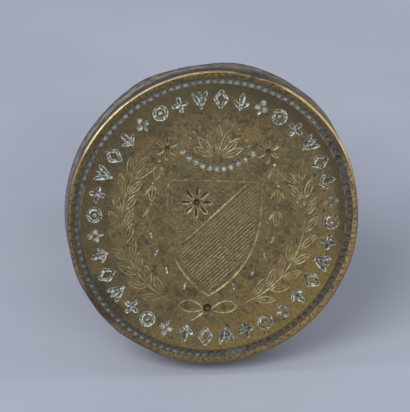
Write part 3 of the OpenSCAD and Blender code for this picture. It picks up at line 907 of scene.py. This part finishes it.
def palmette():
    """Seven leaves in a fan, with fine rays outside them."""
    cuts = []
    for a in range(-66, 67, 22):
        du, dv = math.sin(math.radians(a)), math.cos(math.radians(a))
        out, length = 2.75 - abs(a) * 0.008, 3.9 - abs(a) * 0.014
        cuts += drawn_leaf(out * du, PALMETTE_UP + out * dv, 90 - a, length, 0.9)
    for a in range(-77, 78, 11):
        du, dv = math.sin(math.radians(a)), math.cos(math.radians(a))
        near = 5.05 - abs(a) * 0.012
        ray = [(du * (near + t * 0.2), PALMETTE_UP + dv * (near + t * 0.2)) for t in range(4)]
        cuts.append(stroke(ray, 0.2, 0.3))
    return cuts


def husk_chain(side):
    """Hanging husks: each a drawn leaf between two short cuts, with a dot at its head."""
    cuts, dots = [], []
    for u, v, direction in HUSKS:
        husk = drawn_leaf(0, 0, 90, 2.3, 0.85, 0.18)
        husk += [leaf(-s * 0.62, -0.35, 90 + s * 28, 1.5, 0.3) for s in (-1, 1)]
        cuts += turned_about(husk, u, v, direction, 1)
        dots += turned_about([([(0, -1.45, 0.2)], False)], u, v, direction, 1)
    return mirrored(cuts, side), [line[0] for line, closed in mirrored(dots, side)]


def bead_border():
    """Punched beads all round the edge, set by hand: no two are quite alike in place and size."""
    hand = random.Random(5)
    dots = []
    for i in range(BEADS):
        a = 2 * math.pi * i / BEADS + hand.uniform(-BEAD_OFF, BEAD_OFF) / BEAD_RING_R
        r = BEAD_RING_R + hand.uniform(-BEAD_OFF, BEAD_OFF)
        dots.append((r * math.cos(a), r * math.sin(a), BEAD_R * hand.uniform(BEAD_SMALLEST, BEAD_LARGEST)))
    return dots


def engrave(head, grime):
    """Cut the whole design into the head, pass by pass."""
    brass = cut_brass("graver_cut_brass", rgb(170, 159, 124), rgb(108, 95, 64))
    fine = cut_brass("finely_cut_brass", rgb(138, 126, 94), rgb(98, 86, 58))
    residue = pale_residue("pale_residue_in_marks", 0.8)
    pearly = pale_residue("pale_residue_in_dots", 0.25)
    beads = bead_patina_and_painted_light()
    inner, outer = BEAD_RING_R - CHANNEL_W / 2, BEAD_RING_R + CHANNEL_W / 2
    with_boolean(head, ring_cutter(inner, outer, CHANNEL_DEPTH, grime))
    with_boolean(head, punch_cutter(bead_border(), beads, BEAD_SUNK, BEAD_DEPTH_SHARE))
    cut_strokes(head, [loop(ring_points(LINE_RING_R, 180), LINE_RING_W)], ring_line_brass())
    strokes, dots = ring_of_marks()
    cut_strokes(head, strokes, residue)
    with_boolean(head, punch_cutter(dots, pearly))
    cut_strokes(head, [loop(shield_points(0.14), SHIELD_LINE_W)], brass)
    cut_strokes(head, hatching(), fine)
    cut_strokes(head, [stroke(PARTING, PARTING_W, 0.04)], brass)
    cut_strokes(head, branch(1) + branch(-1) + ribbon() + palmette(), brass)
    for side in (-1, 1):
        cuts, dots = husk_chain(side)
        cut_strokes(head, cuts, brass)
        with_boolean(head, punch_cutter(dots, pearly))
    cut_strokes(head, [leaf(u, v, turn, 0.95, 0.26) for u, v, turn in SEEDS], residue)
    petals, eyes = [], [RIBBON_KNOT]
    for u, v, size, count in ROSETTES:
        cuts, eye = drawn_rosette(u, v, size, count)
        petals += cuts
        eyes += eye
    cut_strokes(head, petals, brass)
    with_boolean(head, punch_cutter(eyes, brass))
    pearls = [(i * PEARL_PITCH, PEARL_UP + i * i * PEARL_SAG, PEARL_R)
              for i in range(-PEARLS_EACH_SIDE, PEARLS_EACH_SIDE + 1)]
    with_boolean(head, punch_cutter(pearls, pearly))


# Pieces

def dent(head, angle, z, amount, reach):
    """Push the rim out or in about one place on it, fading out around it."""
    x, y = rim_place(angle, FACE_R * MM)
    only(head)
    bpy.ops.object.mode_set(mode='EDIT')
    bpy.ops.mesh.select_mode(type='VERT')
    bpy.ops.mesh.select_all(action='DESELECT')
    bpy.ops.object.mode_set(mode='OBJECT')
    for corner in head.data.vertices:
        corner.select = (corner.co - Vector((x, y, z * MM))).length < DENT_CORE * MM
    bpy.ops.object.mode_set(mode='EDIT')
    bpy.ops.transform.translate(value=(x / FACE_R * amount, y / FACE_R * amount, 0),
                                use_proportional_edit=True, proportional_edit_falloff='SMOOTH',
                                proportional_size=reach * MM)
    bpy.ops.object.mode_set(mode='OBJECT')


def knock_cutter(angle, radius, along, across, deep, finish):
    """A knock in the edge of the face."""
    bpy.ops.object.select_all(action='DESELECT')
    bpy.ops.mesh.primitive_ico_sphere_add(subdivisions=2, radius=1.0)
    knock = bpy.context.object
    x, y = rim_place(angle, radius)
    knock.scale = (across * MM, along * MM, deep * MM)
    knock.rotation_euler = (0, 0, math.atan2(y, x))
    knock.location = (x * MM, y * MM, 0)
    settle(knock)
    paint(knock, finish)
    return knock


def out_of_round(head):
    """Stretch the head along its long axis and press it in across that."""
    for turn, stretch in ((LONG_AXIS, (1, 1, 1)), (0, (LONG, SHORT, 1)), (-LONG_AXIS, (1, 1, 1))):
        head.rotation_euler = (0, 0, math.radians(turn))
        head.scale = stretch
        settle(head)


def seal_head():
    outline = ([(2.0, HEAD_H), (FACE_R - BACK_ROUND, HEAD_H)]
               + arc(FACE_R - BACK_ROUND, HEAD_H - BACK_ROUND, BACK_ROUND, 90, 0, 6)[1:]
               + [(FACE_R, 3.0)]
               + arc(FACE_R - RIM_ROUND, RIM_ROUND, RIM_ROUND, 0, -90, 4)
               + [(r, 0.0) for r in (FACE_R - 0.8, 17.0, 14.0, 11.0, 8.0, 5.0, 2.0)])
    head = turned("seal_head_engraved", outline, sides=256)
    paint(head, worn_brass_with_painted_light())
    for place in DENTS:
        dent(head, *place)
    grime = channel_grime_and_painted_highlight()
    engrave(head, grime)
    for place in KNOCKS:
        with_boolean(head, knock_cutter(*place, grime))
    out_of_round(head)
    with_boolean(head, turned("mount_recess", [(RECESS_R, RECESS_Z), (RECESS_R, 12.0)]))
    return head


def back_mount():
    outline = ([(8.8, 7.5), (8.8, 9.3)] + arc(8.3, 9.3, 0.5, 0, 90, 4) + [(7.9, 9.9)]
               + arc(7.9, 12.8, 2.9, -90, -180, 14) + [(5.0, 15.2)]
               + arc(5.5, 16.1, 0.9, -90, 90, 10) + [(3.5, 17.0), (3.05, 16.6), (3.05, 9.4)])
    return turned("back_mount_turned", outline)


def leather_washer():
    outline = [(3.1, 17.0), (5.85, 17.0), (6.05, 17.1), (6.12, 17.4), (6.05, 17.7), (5.85, 17.8),
               (3.1, 17.8)]
    return turned("leather_washer_cut", outline, ring=True)


def pin_hole():
    return fitted(turned("pin_hole", [(0.85, -20.0), (0.85, 20.0)], sides=32), CROSSWISE, 0, PIN_Z)


def ferrule():
    outline = ([(3.05, 17.8), (6.7, 17.8)] + arc(6.7, 18.4, 0.6, -75, 70.5, 8)
               + [(6.9, 19.5), (6.76, 19.64), (6.9, 19.78), (6.9, 22.9), (6.76, 23.04), (6.9, 23.18)]
               + arc(6.7, 24.0, 0.6, -70.5, 90, 8) + [(6.1, 24.6), (6.1, 18.6), (3.05, 18.6)])
    cup = turned("ferrule_turned", outline, ring=True)
    with_boolean(cup, pin_hole())
    return cup


def handle_knob():
    outline = ([(2.25, 18.6), (6.05, 18.6), (6.05, 24.6)] + arc(6.05, 25.65, 1.05, -84, 84, 10)
               + arc(14.2833, 29.5, 8.68333, 198.5, 131, 26)[1:]
               + arc(3.2, 42.5, 8.4, -47, 74.64, 40) + [(2.25, 50.6)])
    knob = turned("handle_knob_turned", outline, ring=True)
    with_boolean(knob, pin_hole())
    seat = turned("stud_seat", [(0.55, -2.2), (0.55, 0.0), (1.05, 0.0), (1.05, 4.0)], sides=32)
    with_boolean(knob, fitted(seat, UPRIGHT, STUD_Y, STUD_Z))
    return knob


def tie_rod():
    outline = [(2.1, 10.0), (2.5, 10.3), (2.5, 16.5), (2.95, 16.8), (2.95, 18.6), (2.2, 18.6), (2.2, 51.4),
               (2.0, 51.4), (2.0, 52.7), (1.8, 52.9)]
    rod = turned("tie_rod_threaded", outline, sides=64)
    last = THREAD_TURNS * THREAD_STEPS
    ridge = []
    for i in range(last + 1):
        a = 2 * math.pi * i / THREAD_STEPS
        run_out = min(1.0, 0.1 + i / RUN_OUT_STEPS, 0.1 + (last - i) / RUN_OUT_STEPS)
        ridge.append((THREAD_R * math.cos(a), THREAD_R * math.sin(a), THREAD_Z + i / THREAD_STEPS,
                      THREAD_HALF * run_out))
    with_boolean(rod, bars([(ridge, False)]), 'UNION')
    with_boolean(rod, pin_hole())
    return rod


def cross_pin():
    outline = [(0.55, -7.0), (0.8, -6.86), (0.8, 6.86), (0.55, 7.0)]
    return fitted(turned("cross_pin_filed", outline, sides=48), CROSSWISE, 0, PIN_Z)


def rove():
    outline = [(2.25, 50.6), (4.3, 50.6), (4.4, 50.7), (4.4, 51.15), (4.2, 51.38), (3.9, 51.4),
               (2.25, 51.4)]
    return turned("rove_turned", outline, ring=True)


def cap_nut():
    outline = [(2.05, 53.0), (2.05, 51.4), (3.5, 51.4), (3.6, 51.5)] + arc(0, 50.1367, 4.2, 31, 87, 16)
    nut = turned("cap_nut_domed", outline)
    bpy.ops.object.select_all(action='DESELECT')
    bpy.ops.mesh.primitive_cube_add(size=1, location=(0, 0, 54.6 * MM), scale=(10 * MM, 0.9 * MM, 2 * MM))
    slot = bpy.context.object
    settle(slot)
    with_boolean(nut, slot)
    return nut


def index_stud():
    outline = [(0.5, -2.1), (0.5, 0.0), (1.0, 0.0)] + arc(0, -0.9, 1.6, 51.3, 86, 8)
    return fitted(turned("index_stud_domed", outline, sides=48), UPRIGHT, STUD_Y, STUD_Z)


brass, iron = turned_brass(), dull_iron()
hand_over(seal_head(), "seal_head", "head", angle=24, worn=True)
hand_over(back_mount(), "back_mount", "head", brass)
hand_over(leather_washer(), "leather_washer", "washer", pressed_leather())
hand_over(ferrule(), "ferrule", "handle", brass)
hand_over(cross_pin(), "cross_pin", "handle", iron)
hand_over(handle_knob(), "handle_knob", "handle", dark_wood(), worn=True)
hand_over(tie_rod(), "tie_rod", "handle", iron)
hand_over(rove(), "rove", "handle", brass)
hand_over(cap_nut(), "cap_nut", "handle", brass)
hand_over(index_stud(), "index_stud", "handle", brass)


# Studio

def studio():
    """A pale floor, an even room and four soft lights."""
    bpy.ops.object.select_all(action='DESELECT')
    bpy.ops.mesh.primitive_plane_add(size=6.0, location=(0, 0, -0.00005))
    floor = bpy.context.object
    floor.name = "studio_floor"
    settle(floor)
    f = Finish("pale_floor", 0.0, 0.8, on_axis=False)
    f.colour(f.mix(f.ramp(f.noise(0.02, 3.0), 0.4, 0.6), rgb(158, 163, 177), rgb(162, 167, 180)))
    floor.data.materials.append(f.material)

    world = bpy.data.worlds.new("soft_room")
    world.use_nodes = True
    background = world.node_tree.nodes["Background"]
    background.inputs["Color"].default_value = ROOM_COLOUR
    background.inputs["Strength"].default_value = ROOM_STRENGTH
    bpy.context.scene.world = world

    face = LAID @ Vector((0, 0, 0))
    for name, place, width, height, power in LIGHTS:
        bpy.ops.object.light_add(type='AREA', location=place)
        light = bpy.context.object
        light.name = name
        light.data.shape = 'RECTANGLE'
        light.data.size = width
        light.data.size_y = height
        light.data.energy = power
        light.rotation_euler = (face - Vector(place)).to_track_quat('-Z', 'Y').to_euler()


def camera():
    """Look at the face from in front, a little above and to the left of its own axis."""
    across, up = math.radians(CAMERA_ACROSS), math.radians(LIE_TILT + CAMERA_ABOVE_AXIS)
    back = Vector((math.sin(across) * math.cos(up), -math.cos(across) * math.cos(up), math.sin(up)))
    turn = back.to_track_quat('Z', 'Y')
    right, top = turn @ Vector((1, 0, 0)), turn @ Vector((0, 1, 0))
    face = LAID @ Vector((0, 0, 0))
    aim = face - right * (FACE_RIGHT / PIXELS_PER_MM * MM) + top * (FACE_DOWN / PIXELS_PER_MM * MM)
    bpy.ops.object.camera_add()
    eye = bpy.context.object
    eye.location = aim + back * CAMERA_AWAY
    eye.rotation_euler = turn.to_euler()
    eye.data.sensor_fit = 'HORIZONTAL'
    eye.data.sensor_width = SENSOR_W
    eye.data.lens = PIXELS_PER_MM / MM * CAMERA_AWAY / PICTURE_W * SENSOR_W
    eye.data.clip_start = 0.01
    bpy.context.scene.camera = eye


studio()
camera()
bpy.context.scene.view_settings.view_transform = 'Standard'
